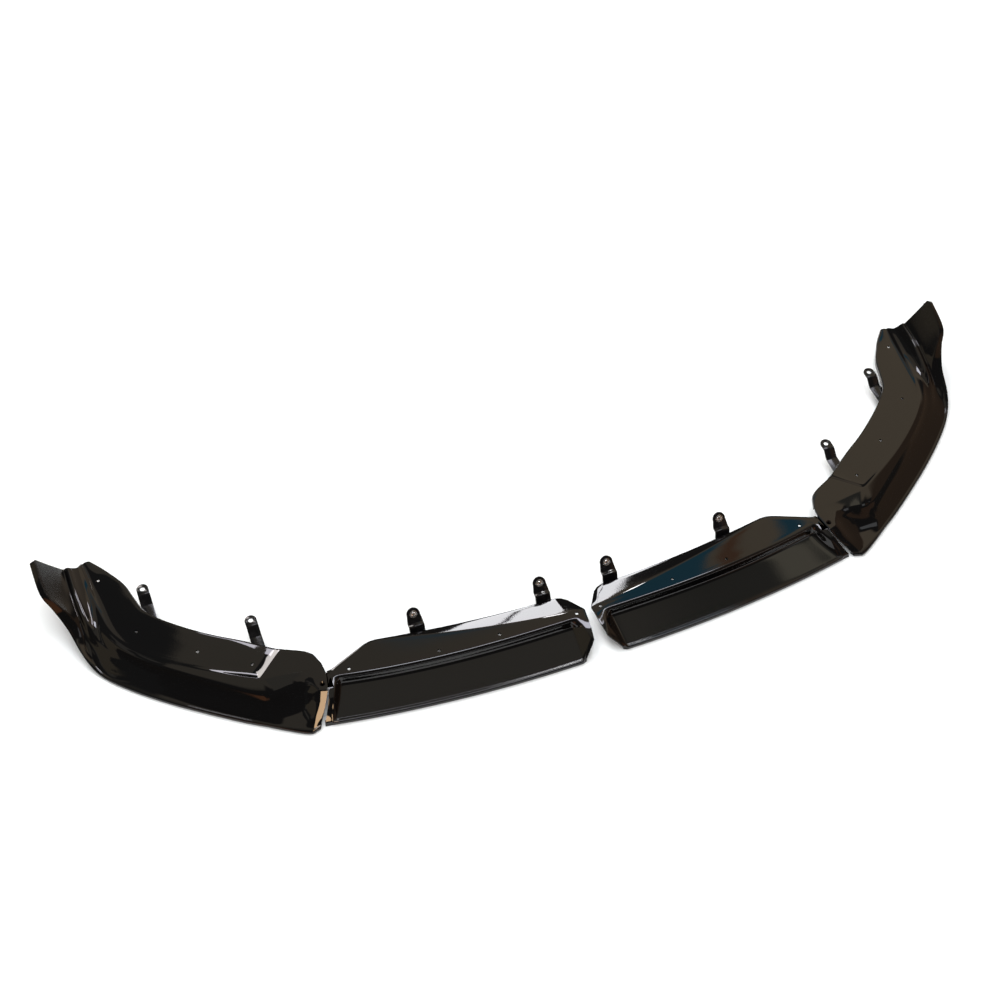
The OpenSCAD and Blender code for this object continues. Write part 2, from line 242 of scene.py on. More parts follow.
def thicken(ob):
    """Gives a skin the moulding's wall and rounds it; the free edges keep a small radius."""
    m = ob.modifiers.new("wall", "SOLIDIFY")
    m.thickness = WALL / 1000
    m.offset = -1
    m.use_even_offset = False
    m.use_quality_normals = True
    m.edge_crease_inner = 0.6
    m.edge_crease_outer = 0.6
    m.edge_crease_rim = 0.6
    s = ob.modifiers.new("round", "SUBSURF")
    s.levels = 1
    s.render_levels = 1


# Centre shell
CORNER_X = 395.0
CENTRE_HOLES = [(23.3, 2.5), (170, 10), (283, 16), (445, 37)]
LAP_HOLE = (498.4, 22)
TONGUE_X = 480.5
FOLD_X = TONGUE_X + 27
X_IN = MIDDLE_GAP / 2


def rear_y(x):
    if x < CORNER_X:
        return 52 + 30 * (max(x - 47, 0) / 348) ** 1.8
    return mix(82, 45, (x - CORNER_X) / 87)


def bend_y(x):
    return min(8 + 72 * (max(x - 7, 0) / 380) ** 1.4, rear_y(x) - 3.5)


def tray_y(x):
    return -10 + 38 * (max(x - 28, 0) / 448) ** 2.5


def front_y(x):
    return -83 + 42 * (max(x - 60, 0) / 458) ** 2


def rear_z(x):
    return -1 - (SLOPE_DROP - 1) * max(1 - (x - 47) / 348, 0) ** 0.8


def centre_section(t):
    """From the rear edge over the deck and through the tray to the front lip."""
    xr, xd, xw = mix(47, 470, t), mix(40, 466, t), mix(38, 466, t)
    xm, xf, xl = mix(40, 477, t), mix(42, 494, t), mix(43, 500, t)
    wy, fy = tray_y(xw), front_y(xl)
    return [
        vec(xr, rear_y(xr) - 0.5, rear_z(xr) - EDGE_H), vec(xr, rear_y(xr), rear_z(xr)),
        vec(xd, bend_y(xd)), vec(xw, wy + 4.2), vec(xw, wy + 1.1, -1.1), vec(xw, wy, -4.2),
        vec(xw, wy - 5, -TRAY_DEPTH), vec(xm, mix(wy - 5, fy + 6.5, 0.5), mix(-TRAY_DEPTH, LIP, 0.5)),
        vec(xf, fy + 6.5, LIP), vec(xl, fy + 4.8, LIP + 1), vec(xl, fy + 1.4, LIP + 1),
        vec(xl, fy, LIP - 1.2), vec(xl, fy, -DECK_H), vec(xl, fy + 12, -DECK_H)]


# Closed ends of the tray: the shell's edge first, then the tray's edge
INNER_END = [
    [(27, 41, -SLOPE_DROP - EDGE_H), (27, 41.5, -SLOPE_DROP), (X_IN + 1, 6, 0), (X_IN + 2.5, -8, 0),
     (X_IN + 3, -16, 0), (X_IN + 4, -26, -0.6), (X_IN + 5, -36, -1.6), (X_IN + 6.5, -46, -2.8),
     (X_IN + 8.5, -57, -4.5), (X_IN + 14.5, -64, -11), (X_IN + 23, -71.5, -17), (X_IN + 31, -79, LIP_Z),
     (X_IN + 31, -80, -DECK_H), (X_IN + 31, -70, -DECK_H)],
    [(36, 48, -SLOPE_DROP - EDGE_H), (36, 48.5, -SLOPE_DROP), (19, 8.5, 0), (26, -6, 0), (26.5, -9.5, -0.3),
     (25, -17, -0.8), (22.5, -27, -1.3), (20, -38, -2.2), (18, -52, -4.6), (24, -60, -11), (31.5, -68, -17),
     (37.5, -77.5, LIP_Z), (39, -81.5, -DECK_H), (39.5, -71, -DECK_H)]]
OUTER_END = [
    [(477, 47, -1 - EDGE_H), (477, 47.5, -1), (474, 43, 0), (474, 31, 0), (474.5, 28, -0.3),
     (475.5, 23, -0.8), (478, 13, -1.2), (482, 2, -2), (487, -8, -3.5), (493, -19, -12),
     (497, -29, -19.5), (502, -40.5, LIP_Z), (504, -43.5, -DECK_H), (502, -32, -DECK_H)],
    [(484, 46.5, -1 - EDGE_H), (484, 47, -1), (485, 41, 0), (486, 33, 0), (487, 26, 0),
     (488, 19, 0), (490, 11, -0.6), (493, 2, -1.6), (496, -8, -3.5), (502, -19, -12),
     (508, -29, -19.5), (514, -39.5, LIP_Z), (515, -42, -DECK_H), (513, -31, -DECK_H)]]
# Places of the centre shell's sections from the inner end (0) to the outer end (1)
CENTRE_T = [0, 0.06, 0.13, 0.22, 0.31, 0.41, 0.5, 0.6, 0.7, 0.77, 0.823, 0.88, 0.945, 1]


def centre_lines():
    columns = ([[Vector(p) for p in col] for col in INNER_END] + [centre_section(t) for t in CENTRE_T]
               + [[Vector(p) for p in col] for col in OUTER_END])
    last = len(columns) - 1
    columns = rounded(columns, {1: 1.8, 2: 1.8, last - 2: 1.8, last - 1: 1.8})
    # How far each lengthwise line is rounded, counted from the rear edge
    rows = rounded(turned(hemmed(columns, HEM)), {
        1: 1.4, 2: 2.2, 3: 2, 4: SMOOTH, 5: 2, 6: 1.8, 7: SMOOTH,
        8: 0.9, 9: 0.9, 10: 0.9, 11: 0.9, 12: 1.0})
    return hemmed(rows, HEM)


# Outer shell: its lines from the pad at the joint round to the fin
REAR_LINE = [(548, 118, 3), (562, 127.3, 0), (608, 161, 0), (662, 196.5, 0), (718, 242, 0),
             (755, 281, 0), (768, 318, 0), (778, 353, 0), (795, 382, 0), (812, 407, 0), (829, 427, 2)]
RIDGE_LINE = [(600, 71, 3), (612, 78, 3), (655, 103, 2), (711, 139, 1), (760, 177, 0.5), (801, 218, 0.5),
              (825, 262, 1), (834, 312, 2), (838, 350, 3), (841, 386, 4), (844, 423, 5)]
BAND_LINE = [(590, 36, BAND), (610, 44.5, BAND), (665, 86, BAND + 0.5), (722, 131, BAND + 1),
             (776, 176, BAND + 1), (815, 219, BAND + 1), (836, 259, -1.5), (841, 302, 1),
             (845, 338, 3.5), (849, 374, 5.5), (852, 415, 8)]
CREST_LINE = [(595, 20, -14.5), (620, 34, -15), (675, 75, -15.5), (733, 119, -15.5), (786, 165, -14.5),
              (829, 209, -12), (851, 254, -6), (858, 290, 5), (861, 324, 11), (864, 362, 17), (866, 411, 21)]
VALLEY_LINE = [(601, 6, -21), (630, 23, -21.5), (687, 65, -21.5), (744, 110, -21.5), (799, 157, -21.5),
               (843, 204, -19), (862, 251, -13), (868, 292, -0.5), (873, 326, 7), (875, 366, 13),
               (876, 414, 15)]
EDGE_LINE = [(605, -6, LIP), (640, 17, LIP), (698, 57, LIP), (758, 102, LIP), (816, 152, LIP),
             (857, 197, LIP + 0.5), (872, 244, -14), (876, 293, 2.5), (894, 321, 27), (914, 351, 47),
             (918, 414, 71)]
FOOT_LINE = [(608, -9, -DECK_H), (645, 14, -DECK_H), (702, 54, -DECK_H), (762, 99, -DECK_H),
             (820, 149, -DECK_H), (861.5, 194, -DECK_H), (882.5, 237, -16), (895, 288, 3), (911, 326, 23.5),
             (925, 353, 45), (928, 417, 63)]
# Steps between two points of a line
STEPS = 4
OUTER_HOLES = [(603.3, 105.3), (688, 165.4), (780.8, 245.2), (822, 377.7)]
LONG_TABS = {"inner": (582, 140), "outer": (750, 275)}
CRANK_TABS = {"inner": (66.5, rear_y(66.5)), "outer": (304, rear_y(304))}
LONG_Z = -WALL - BOSS_H
CRANK_Z = -SLOPE_DROP - EDGE_H - 2
LONG_BOSSES = [(0, -36), (0, -18)]
CRANK_BOSSES = [(-8, -45), (8, -45)]


def outward(a, b):
    """The level direction from one point to another."""
    return Vector((b.x - a.x, b.y - a.y, 0)).normalized()


def outer_section(i, r, d, b, c, v, e, f):
    """One section across the shell: rear, ridge, band, crest, valley, edge and foot, in that order."""
    # k grows from 0 along the channel to 1 along the fin, and o points from the deck outward
    k, o = share(i / STEPS, 5.8, 6.8), outward(d, f)
    f = Vector((f.x, f.y, max(f.z, -DECK_H)))
    foot = mix(d, r, 0.12)
    return [
        r + vec(0, -0.5, -EDGE_H), r, mix(r, foot, 0.5), Vector((foot.x, foot.y, r.z)), d,
        mix(d, b, 0.5) + mix(0.2, 0, k) * UP, b, mix(b, c, 0.5) + mix(-1, -1.8, k) * UP - o * mix(1, 0, k), c,
        mix(c, v, 0.5) + mix(-0.6, 2.4, k) * UP, v, mix(v, e, 0.5) - mix(0.4, 1.5, k) * UP, e,
        mix(e + UP + 2.2 * o, mix(e, f, 0.25) + 0.8 * UP, k),
        f + mix(LIP_H - 2, 2, k) * UP + mix(0.3, 0, k) * o,
        f, f - o * mix(12, 7, k) - min(3 * k, f.z + DECK_H) * UP]


def pad_section(r, d, b, c, v, e, f):
    """One section across the pad, with its points in the same order."""
    r, d, b, c, v, e, f = (Vector(p) for p in (r, d, b, c, v, e, f))
    o = outward(d, f)
    foot = mix(r, d, 0.88)
    return [
        r + vec(0, -0.5, -EDGE_H), r, mix(r, foot, 0.5), foot, d,
        mix(d, b, 0.5) + min(0.6, (d.z - b.z) * 0.1) * UP, b,
        mix(b, c, 0.5) - min(0.8, (b.z - c.z) * 0.1) * UP, c, mix(c, v, 0.5) - 0.4 * UP, v,
        mix(v, e, 0.5), e, e + UP + 2.2 * o, f + (LIP_H - 2) * UP + 0.3 * o, f, f - 10 * o]


def outer_pad():
    """Sections of the pad: its free edge, the fold past the tongue, the channel's end, its bevel."""
    return [
        pad_section((488, 64, PAD_Z), (486, 42, PAD_Z), (490, 20, PAD_Z), (493, 7, PAD_Z), (504, -12, -9.5),
                    (521, -39, LIP), (524, -44, -DECK_H)),
        pad_section((496.5, 88, PAD_Z), (FOLD_X - 4.5, 56, PAD_Z), (FOLD_X + 4.5, 26, PAD_Z),
                    (FOLD_X + 1.5, 12, PAD_Z), (519, -8, -10), (535, -43, LIP), (539, -49, -DECK_H)),
        pad_section((507.5, 97.5, PAD_Z), (518, 60, PAD_Z), (526, 36, PAD_Z - 2), (527, 18, -7), (534, -2, -17),
                    (545, -39, LIP), (548, -46, -DECK_H)),
        pad_section((521.5, 105, PAD_Z), (545, 62, PAD_Z), (541, 36, -3), (546, 17, -14), (549, -2, -21.5),
                    (555, -35, LIP), (558, -41, -DECK_H)),
        pad_section((540.5, 113.5, PAD_Z), (592, 68, PAD_Z), (578, 33, -2.5), (583, 18, -14.5), (588, 2, -22),
                    (591, -16, LIP), (594, -18.5, -DECK_H))]


def fin_or(fin, shell):
    """A reach that changes from the shell's to the fin's along the shell."""
    return lambda p: mix(shell(p) if callable(shell) else shell, fin, share(p.y, 250, 290))


def rounded_end(section):
    """The last section, with the fin's tip and the deck's corner drawn in so that they come out round."""
    out = list(section)
    plate = (section[10] - section[12]).normalized()
    deck = (section[4] - section[1]).normalized()
    for row, pull in ((12, 3), (13, 6), (14, 9), (15, 9), (16, 9)):
        out[row] = section[row] + plate * pull
    for row, pull in ((0, 5), (1, 5), (2, 2)):
        out[row] = section[row] + deck * pull
    return out


def outer_lines():
    guides = [curve(line, STEPS) for line in (REAR_LINE, RIDGE_LINE, BAND_LINE, CREST_LINE, VALLEY_LINE,
                                              EDGE_LINE, FOOT_LINE)]
    body = [outer_section(i, *points) for i, points in enumerate(zip(*guides))]
    near_end = [mix(p, q, 0.4) for p, q in zip(body[-2], body[-1])]
    close_end = [mix(p, q, 0.8) for p, q in zip(body[-2], body[-1])]
    body = body[:-1] + [near_end, close_end, rounded_end(body[-1])]
    # The end wall, turned down along the deck's corner and the fin's tip
    back = [p + vec(0.3, 1.5, -1 if j == 0 else -EDGE_H + (3 if j > 14 else 0))
            for j, p in enumerate(body[-1])]
    columns = outer_pad() + body + [back]
    last = len(columns) - 2

    def bevel(p):
        """Crisp across the pad's deck, soft down the channel."""
        return 1.4 if p.z > PAD_Z - 4 and p.y > 60 else 12

    columns = rounded(columns, {1: lambda p: 4 if p.z > -12 else 2, 4: bevel, 5: bevel, last: 1.3})
    # How far each lengthwise line is rounded, counted from the rear edge; fin_or takes the fin's reach first
    rows = rounded(turned(hemmed(columns, HEM)), {
        1: 1.4, 2: SMOOTH, 3: SMOOTH,
        4: fin_or(2.5, lambda p: 1.4 + 2.6 * share(p.x, 640, 720)), 5: fin_or(3, SMOOTH),
        6: fin_or(1.6, lambda p: 1.6 + 6 * (1 - share(p.x, 560, 620))), 7: fin_or(3.5, SMOOTH),
        8: fin_or(3.5, lambda p: 1.4 if p.x < 515 else SMOOTH), 9: fin_or(2.5, SMOOTH), 10: fin_or(2, SMOOTH),
        11: SMOOTH, 12: fin_or(1.8, 1.2), 13: fin_or(4, 1.2), 14: fin_or(1.2, 2), 15: 1.0})
    return hemmed(rows, HEM)


# Materials
class Sock:
    """A shader socket that takes part in Python expressions."""

    def __init__(self, nodes, link):
        self.nodes = nodes
        self.link = link

    def maths(self, kind, other, swap=False):
        a, b = (other, self) if swap else (self, other)
        return self.nodes.node("ShaderNodeMath", {"operation": kind}, {0: a, 1: b})

    def __add__(self, other):
        return self.maths("ADD", other)

    __radd__ = __add__

    def __mul__(self, other):
        return self.maths("MULTIPLY", other)

    __rmul__ = __mul__

    def __sub__(self, other):
        return self.maths("SUBTRACT", other)

    def __rsub__(self, other):
        return self.maths("SUBTRACT", other, swap=True)


class Nodes:
    """A node tree built in code."""

    def __init__(self, tree):
        self.tree = tree
        tree.nodes.clear()

    def node(self, kind, settings=None, inputs=None, out=0):
        n = self.tree.nodes.new(kind)
        for key, value in (settings or {}).items():
            setattr(n, key, value)
        for key, value in (inputs or {}).items():
            if isinstance(value, Sock):
                self.tree.links.new(value.link, n.inputs[key])
            else:
                n.inputs[key].default_value = value
        if not len(n.outputs):
            return None
        if isinstance(out, tuple):
            return [Sock(self, n.outputs[name]) for name in out]
        return Sock(self, n.outputs[out])

    def coords(self, kind="Object"):
        return self.node("ShaderNodeTexCoord", out=kind)

    def axes(self, vector):
        return self.node("ShaderNodeSeparateXYZ", {}, {0: vector}, ("X", "Y", "Z"))

    def attribute(self, name):
        return self.node("ShaderNodeAttribute", {"attribute_name": name}, out="Fac")

    def noise(self, scale, detail=3.0, rough=0.5, at=None):
        return self.node("ShaderNodeTexNoise", {}, {"Vector": at or self.coords(), "Scale": scale,
                                                    "Detail": detail, "Roughness": rough}, "Fac")

    def ramp(self, value, low, high):
        """0 up to low, 1 from high on."""
        return self.node("ShaderNodeMapRange", {"interpolation_type": "SMOOTHSTEP"},
                         {"Value": value, "From Min": low, "From Max": high})

    def fall(self, value, low, high):
        """1 up to low, 0 from high on."""
        return 1 - self.ramp(value, low, high)

    def window(self, value, low, high, soft=0.01):
        """1 between low and high, 0 outside."""
        return self.ramp(value, low - soft, low + soft) * self.fall(value, high - soft, high + soft)

    def tint(self, fac, a, b):
        a, b = (c if isinstance(c, Sock) else (*c, 1) for c in (a, b))
        return self.node("ShaderNodeMix", {"data_type": "RGBA"}, {"Factor": fac, 6: a, 7: b}, 2)

    def bump(self, height, strength, distance, normal=None):
        inputs = {"Height": height, "Strength": strength, "Distance": distance}
        if normal:
            inputs["Normal"] = normal
        return self.node("ShaderNodeBump", {}, inputs)


class Finish(Nodes):
    """A material with one main shader."""

    def __init__(self, name):
        self.data = bpy.data.materials.new(name)
        self.data.use_nodes = True
        super().__init__(self.data.node_tree)

    def finish(self, **inputs):
        named = {key.replace("_", " "): value for key, value in inputs.items()}
        shader = self.node("ShaderNodeBsdfPrincipled", {}, named)
        self.node("ShaderNodeOutputMaterial", {}, {"Surface": shader})
        return self.data


def gloss_black():
    """Polished black moulding: faint waviness, fine orange peel, handling haze and sparse dust."""
    m = Finish("gloss_black_moulding")
    grain = m.attribute("grain")
    haze = m.ramp(m.noise(9, 4, 0.6), 0.5, 0.75)
    dust = m.ramp(m.noise(900, 2, 0.7), 0.70, 0.80) * m.ramp(m.noise(25, 3), 0.45, 0.7)
    colour = m.tint(dust * 0.5, (0.0016, 0.0016, 0.0018), (0.03, 0.03, 0.032))
    rough = 0.025 + haze * 0.015 + dust * 0.25 + grain * 0.16
    wave = m.bump(m.noise(11, 1.5), 0.2, 0.0006)
    peel = m.bump(m.noise(420, 2), 0.04, 0.0002, wave)
    speckle = m.bump(m.noise(1300, 3, 0.6) * grain, 0.6, 0.0003, peel)
    return m.finish(Base_Color=colour, Roughness=rough, Normal=speckle, IOR=1.46)


def tab_black():
    """Black tab strip: a little duller than the shells, with rub marks along its length."""
    m = Finish("black_tab_strip")
    rub = m.ramp(m.noise(60, 4, 0.6), 0.5, 0.72)
    fine = m.noise(700, 2)
    colour = m.tint(rub * 0.6, (0.004, 0.004, 0.0045), (0.014, 0.014, 0.015))
    return m.finish(Base_Color=colour, Roughness=0.09 + rub * 0.1 + fine * 0.04, Specular_IOR_Level=0.3,
                    Normal=m.bump(m.noise(300, 3), 0.1, 0.0003), IOR=1.5)


def zinc_steel():
    """Bright plated screw with faint blotches."""
    m = Finish("zinc_plated_screw")
    blotch = m.noise(250, 3)
    colour = m.tint(blotch, (0.50, 0.52, 0.55), (0.78, 0.79, 0.80))
    return m.finish(Base_Color=colour, Metallic=1.0, Roughness=0.14 + blotch * 0.16,
                    Normal=m.bump(m.noise(1500, 2), 0.12, 0.0001))


def finish_piece(ob, material, node):
    """Gives a piece its material and slot, fixes it to the body and puts it in its node's place."""
    ob.data.materials.clear()
    ob.data.materials.append(material)
    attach(ob, "root")
    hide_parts(node)


# Pieces
def boss_bodies(places, offsets, z):
    """Bosses under a deck, each with a blind bore and eased rims."""
    top, r, bore, ease = -WALL * 0.6, BOSS_D / 2, BOSS_SCREW_D / 2, 0.3
    bore_top = z + BOSS_H - 2.5
    spots = [(px + ox, py + oy) for px, py in places for ox, oy in offsets]
    return lathes(spots, [(0, top), (r, top), (r, z + ease), (r - ease, z), (bore + ease, z),
                          (bore, z + ease), (bore, bore_top), (0, bore_top)], 32)


def height_at(tree, x, y):
    """The deck's own height above the drawing's deck plane at that spot."""
    hit = tree.ray_cast(place((x, y, 60)), Vector((0, 0, -1)))[0]
    return hit.z * 1000 - DECK_H


def hole_cutters(name, ob, holes, lap_top):
    """Through holes with an eased rim, and the lap hole with its countersink."""
    r, ease = DECK_HOLE_D / 2, 0.5
    graph = bpy.context.evaluated_depsgraph_get()
    tree = BVHTree.FromObject(ob, graph)
    bm = bmesh.new()
    for x, y in holes:
        h = height_at(tree, x, y)
        join_bmesh(bm, lathes([(x, y)], [(0, h - 2 * WALL), (r, h - 2 * WALL), (r, h - ease),
                                         (r + ease, h + ease), (0, h + ease)]))
    s, low = SINK_D / 2, lap_top - 2 * WALL
    if lap_top > 0:
        join_bmesh(bm, lathes([LAP_HOLE], [(0, low), (r, low), (r, lap_top - 0.7 * WALL), (s, lap_top),
                                           (s + 0.6, lap_top + 0.6), (0, lap_top + 0.6)]))
    return add_object(name, bm)


def grain_mask(ob, value_at):
    """Stores how grained each point is, from 0 to 1."""
    layer = ob.data.attributes.new("grain", "FLOAT", "POINT")
    for vert in ob.data.vertices:
        layer.data[vert.index].value = value_at(vert.co, vert.normal)


def add_bodies(ob, extra):
    """Joins bodies to a finished piece's mesh."""
    bm = bmesh.new()
    bm.from_mesh(ob.data)
    join_bmesh(bm, extra)
    bm.to_mesh(ob.data)
    bm.free()
    shade(ob.data, SHELL_SHARP)


def tongue_body():
    """The tongue that lies under the pad, flush with the deck."""
    bm = bmesh.new()
    outline = [(TONGUE_X, 12), (TONGUE_X, 41), (TONGUE_X + 8, 45), (FOLD_X - 6, 45), (FOLD_X - 3, 42),
               (FOLD_X - 0.5, 26), (FOLD_X - 1.5, 17), (FOLD_X - 6, 13.5)]
    face = bm.faces.new([bm.verts.new(place((x, y, -0.05))) for x, y in outline])
    bmesh.ops.solidify(bm, geom=[face], thickness=(WALL - 0.1) / 1000)
    bmesh.ops.recalc_face_normals(bm, faces=bm.faces)
    return bm


def both_sides(shell, piece, node, black):
    """Finishes the right shell and its mirror image on the left."""
    bm = bmesh.new()
    bm.from_mesh(shell.data)
    mirror_bmesh(bm, -1)
    other = add_object(piece + "_left", bm)
    shade(other.data, SHELL_SHARP)
    finish_piece(shell, black, node + "_right")
    finish_piece(other, black, node + "_left")


def build_centre(black):
    """The centre shells, each with its deck holes, tongue and bosses."""
    shell = add_object("centre_moulding_right", skin(centre_lines(), 1))
    thicken(shell)
    cut(shell, hole_cutters("centre_holes", shell, CENTRE_HOLES, 0))
    settle(shell)
    under = boss_bodies(CRANK_TABS.values(), CRANK_BOSSES, CRANK_Z)
    join_bmesh(under, tongue_body())
    add_bodies(shell, under)
    grain_mask(shell, lambda co, n: 0.0)
    both_sides(shell, "centre_moulding", "shell_centre", black)


def fin_grain(co, normal):
    """Grain on the inner face of the fin plate only."""
    across = share(abs(co.x), 0.878, 0.886)
    height = share(co.z, 0.048, 0.058)
    return across * height if normal.x * co.x < 0 and normal.z > 0.1 else 0.0


def build_outer(black):
    """The outer shells, each with its deck holes, countersunk lap hole and bosses."""
    shell = add_object("outer_moulding_right", skin(outer_lines(), 1))
    thicken(shell)
    cut(shell, hole_cutters("outer_holes", shell, OUTER_HOLES, PAD_Z))
    settle(shell)
    add_bodies(shell, boss_bodies(LONG_TABS.values(), LONG_BOSSES, LONG_Z))
    grain_mask(shell, fin_grain)
    both_sides(shell, "outer_moulding", "shell_outer", black)


def along(path, distance):
    """The point at a distance along a path."""
    for a, b in zip(path, path[1:]):
        step = (b - a).length
        if distance <= step or b is path[-1]:
            return a + (b - a) * (distance / step)
        distance -= step


def chord(radius, depth):
    """Half the width of a round end at that depth from its tip."""
    return math.sqrt(max(radius * radius - max(radius - depth, 0) ** 2, 0))


def strip(name, path, half_width, holes, side):
    """A bent tab: its top face follows the path along +Y, and half_width gives its plan."""
    bends = [path[0]]
    for a, p, b in zip(path, path[1:], path[2:]):
        bends.extend(eased(a, p, b, 3.0))
    bends.append(path[-1])
    total = sum((b - a).length for a, b in zip(bends, bends[1:]))
    # Places along the strip: close together round both ends, and at each line of a bend
    end_zone, bend_zone, round_steps = 30, 16, 8
    stops = {0.02, total - 0.02}
    for k in range(1, round_steps + 1):
        swing = 1 - math.cos(k * math.pi / (2 * round_steps))
        stops.update((swing * half_width(end_zone), total - swing * half_width(total - end_zone)))
    run = 0
    for a, b in zip(bends, bends[1:]):
        run += (b - a).length
        if bend_zone < run < total - bend_zone:
            stops.add(run)
    stops = sorted(stops)
    lines = []
    for s in stops:
        p, w = along(bends, s), half_width(s)
        w = min(w, chord(w, s), chord(w, total - s))
        lines.append([p - vec(w, 0), p + vec(w, 0)])
    ob = add_object(name, skin(lines, side))
    wall = ob.modifiers.new("strip", "SOLIDIFY")
    wall.thickness = TAB_T / 1000
    wall.offset = -1
    wall.use_even_offset = True
    cutter = bmesh.new()
    for d, matrix in holes:
        shaft = lathe([(0, -8), (d / 2, -8), (d / 2, 8), (0, 8)], 48)
        bmesh.ops.transform(shaft, matrix=matrix, verts=shaft.verts)
        join_bmesh(cutter, shaft)
    mirror_bmesh(cutter, side)
    cut(ob, add_object("tab_holes", cutter))
    edge = ob.modifiers.new("edge", "BEVEL")
    edge.width = 0.0004
    edge.segments = 2
    edge.limit_method = "ANGLE"
    edge.angle_limit = math.radians(50)
    settle(ob, TAB_SHARP)
    return ob


def spot(x, y, z):
    """An upright frame at a drawing point."""
    return Matrix.Translation(place((x, y, z)))


def build_long_tab(side_name, side, where, material):
    """A straight strip on two bosses that rises behind the edge to an open eye."""
    x, y = LONG_TABS[where]
    start, rise, eye, eye_z = -44, 26, 54, 3.4
    path = [vec(x, y + start - LONG_W / 2, LONG_Z), vec(x, y + rise, LONG_Z), vec(x, y + rise + 14, eye_z),
            vec(x, y + eye + LONG_W / 2, eye_z)]
    holes = [(EYE_D, spot(x, y + eye, eye_z - TAB_T))]
    holes += [(BOSS_SCREW_D, spot(x, y + oy, LONG_Z)) for ox, oy in LONG_BOSSES]
    ob = strip(f"long_tab_strip_{where}_{side_name}", path, lambda s: LONG_W / 2, holes, side)
    finish_piece(ob, material, f"tab_long_{where}_{side_name}")


# The cranked tab's ledge behind the rear edge, its eye's lean, and the eye's way up to its hole
LEDGE = [(8.5, 1.3), (16.5, -0.5)]
LEAN = math.radians(52)
EYE_L = 17.5


def crank_eye(where):
    """The frame of the leaning eye's face, at the middle of its hole."""
    x, y = CRANK_TABS[where]
    at = vec(x, y + LEDGE[1][0], LEDGE[1][1]) + EYE_L * vec(0, math.cos(LEAN), math.sin(LEAN))
    return Matrix.Translation(place(at)) @ Matrix.Rotation(LEAN, 4, "X")


def build_crank_tab(side_name, side, where, material):
    """Up behind the edge, a short ledge, then a leaning eye that carries the washer-head screw."""
    x, y = CRANK_TABS[where]
    lean = vec(0, math.cos(LEAN), math.sin(LEAN))
    ledge = [vec(x, y + dy, z) for dy, z in LEDGE]
    path = [vec(x, y - 54, CRANK_Z), vec(x, y + 3.5, CRANK_Z), *ledge, ledge[1] + lean * (EYE_L + EYE_W / 2)]
    total = sum((b - a).length for a, b in zip(path, path[1:]))
    neck = total - EYE_L - EYE_W / 2 + 4

    def half_width(s):
        return mix(CRANK_W, EYE_W, share(s, neck, neck + 1.5)) / 2

    holes = [(CAP_SCREW_D + 0.2, crank_eye(where))]
    holes += [(BOSS_SCREW_D, spot(x + ox, y + oy, CRANK_Z)) for ox, oy in CRANK_BOSSES]
    ob = strip(f"cranked_tab_strip_{where}_{side_name}", path, half_width, holes, side)
    finish_piece(ob, material, f"tab_cranked_{where}_{side_name}")


def build_cap_screw(side_name, side, where, material):
    """Washer-head screw with a domed head, a cross recess and a threaded shank."""
    crest, root, pitch, thread_end = CAP_SCREW_D / 2, 2.1, 0.8, -12.6
    thread = []
    z = -3.0
    while z > thread_end:
        thread += [(crest, z), (root, z - pitch / 2)]
        z -= pitch
    head = [(0, 3.7), (2.2, 3.55), (3.3, 3.1), (4.1, 2.4), (4.5, 1.6), (4.6, 1.25), (6.6, 1.15), (7, 0.8),
            (7, 0.2), (6.8, 0), (2.2, 0), (2.2, -2.8)]
    tip = [(root, -13), (1.4, -14.4), (0, -14.5)]
    ob = add_object(f"washer_screw_{where}_{side_name}", lathe(head + thread + tip, 48))
    # The cross recess: arms that reach a from the middle, with b as half their width
    a, b = 2.5, 0.5
    cross = bmesh.new()
    outline = [(b, b), (b, a), (-b, a), (-b, b), (-a, b), (-a, -b),
               (-b, -b), (-b, -a), (b, -a), (b, -b), (a, -b), (a, b)]
    for height, size in ((4.5, 1.1), (1.6, 0.8)):
        for px, py in outline:
            cross.verts.new((px * size / 1000, py * size / 1000, height / 1000))
    cross.verts.ensure_lookup_table()
    count = len(outline)
    rings = [[cross.edges.new((cross.verts[r + i], cross.verts[r + (i + 1) % count])) for i in range(count)]
             for r in (0, count)]
    bmesh.ops.bridge_loops(cross, edges=rings[0] + rings[1])
    bmesh.ops.edgeloop_fill(cross, edges=rings[0])
    bmesh.ops.edgeloop_fill(cross, edges=rings[1])
    bmesh.ops.recalc_face_normals(cross, faces=cross.faces)
    cut(ob, add_object("cross_recess", cross))
    settle(ob, SCREW_SHARP)
    bm = bmesh.new()
    bm.from_mesh(ob.data)
    bmesh.ops.transform(bm, matrix=crank_eye(where), verts=bm.verts)
    mirror_bmesh(bm, side)
    bm.to_mesh(ob.data)
    bm.free()
    shade(ob.data, SCREW_SHARP)
    finish_piece(ob, material, f"cap_screw_{where}_{side_name}")


def dress_boss_screws(side_name, material):
    """The boss screws keep the solids' own meshes and only get a finish."""
    for where in ("outer", "centre"):
        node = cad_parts[f"boss_screws_{where}_{side_name}"]
        node.data.materials.clear()
        node.data.materials.append(material)


# Stage, light and camera
def floor():
    """A pale floor that the camera sees a little brighter than it is."""
    bm = bmesh.new()
    bmesh.ops.create_grid(bm, x_segments=1, y_segments=1, size=30)
    ob = add_object("floor", bm)
    m = Finish("pale_floor")
    seen = m.node("ShaderNodeLightPath", out="Is Camera Ray")
    lift = m.tint(seen, (0, 0, 0), (0.03, 0.03, 0.03))
    ob.data.materials.append(m.finish(Base_Color=(0.90, 0.95, 0.97, 1), Roughness=0.9,
                                      Specular_IOR_Level=0.1, Emission_Color=lift, Emission_Strength=1.0))


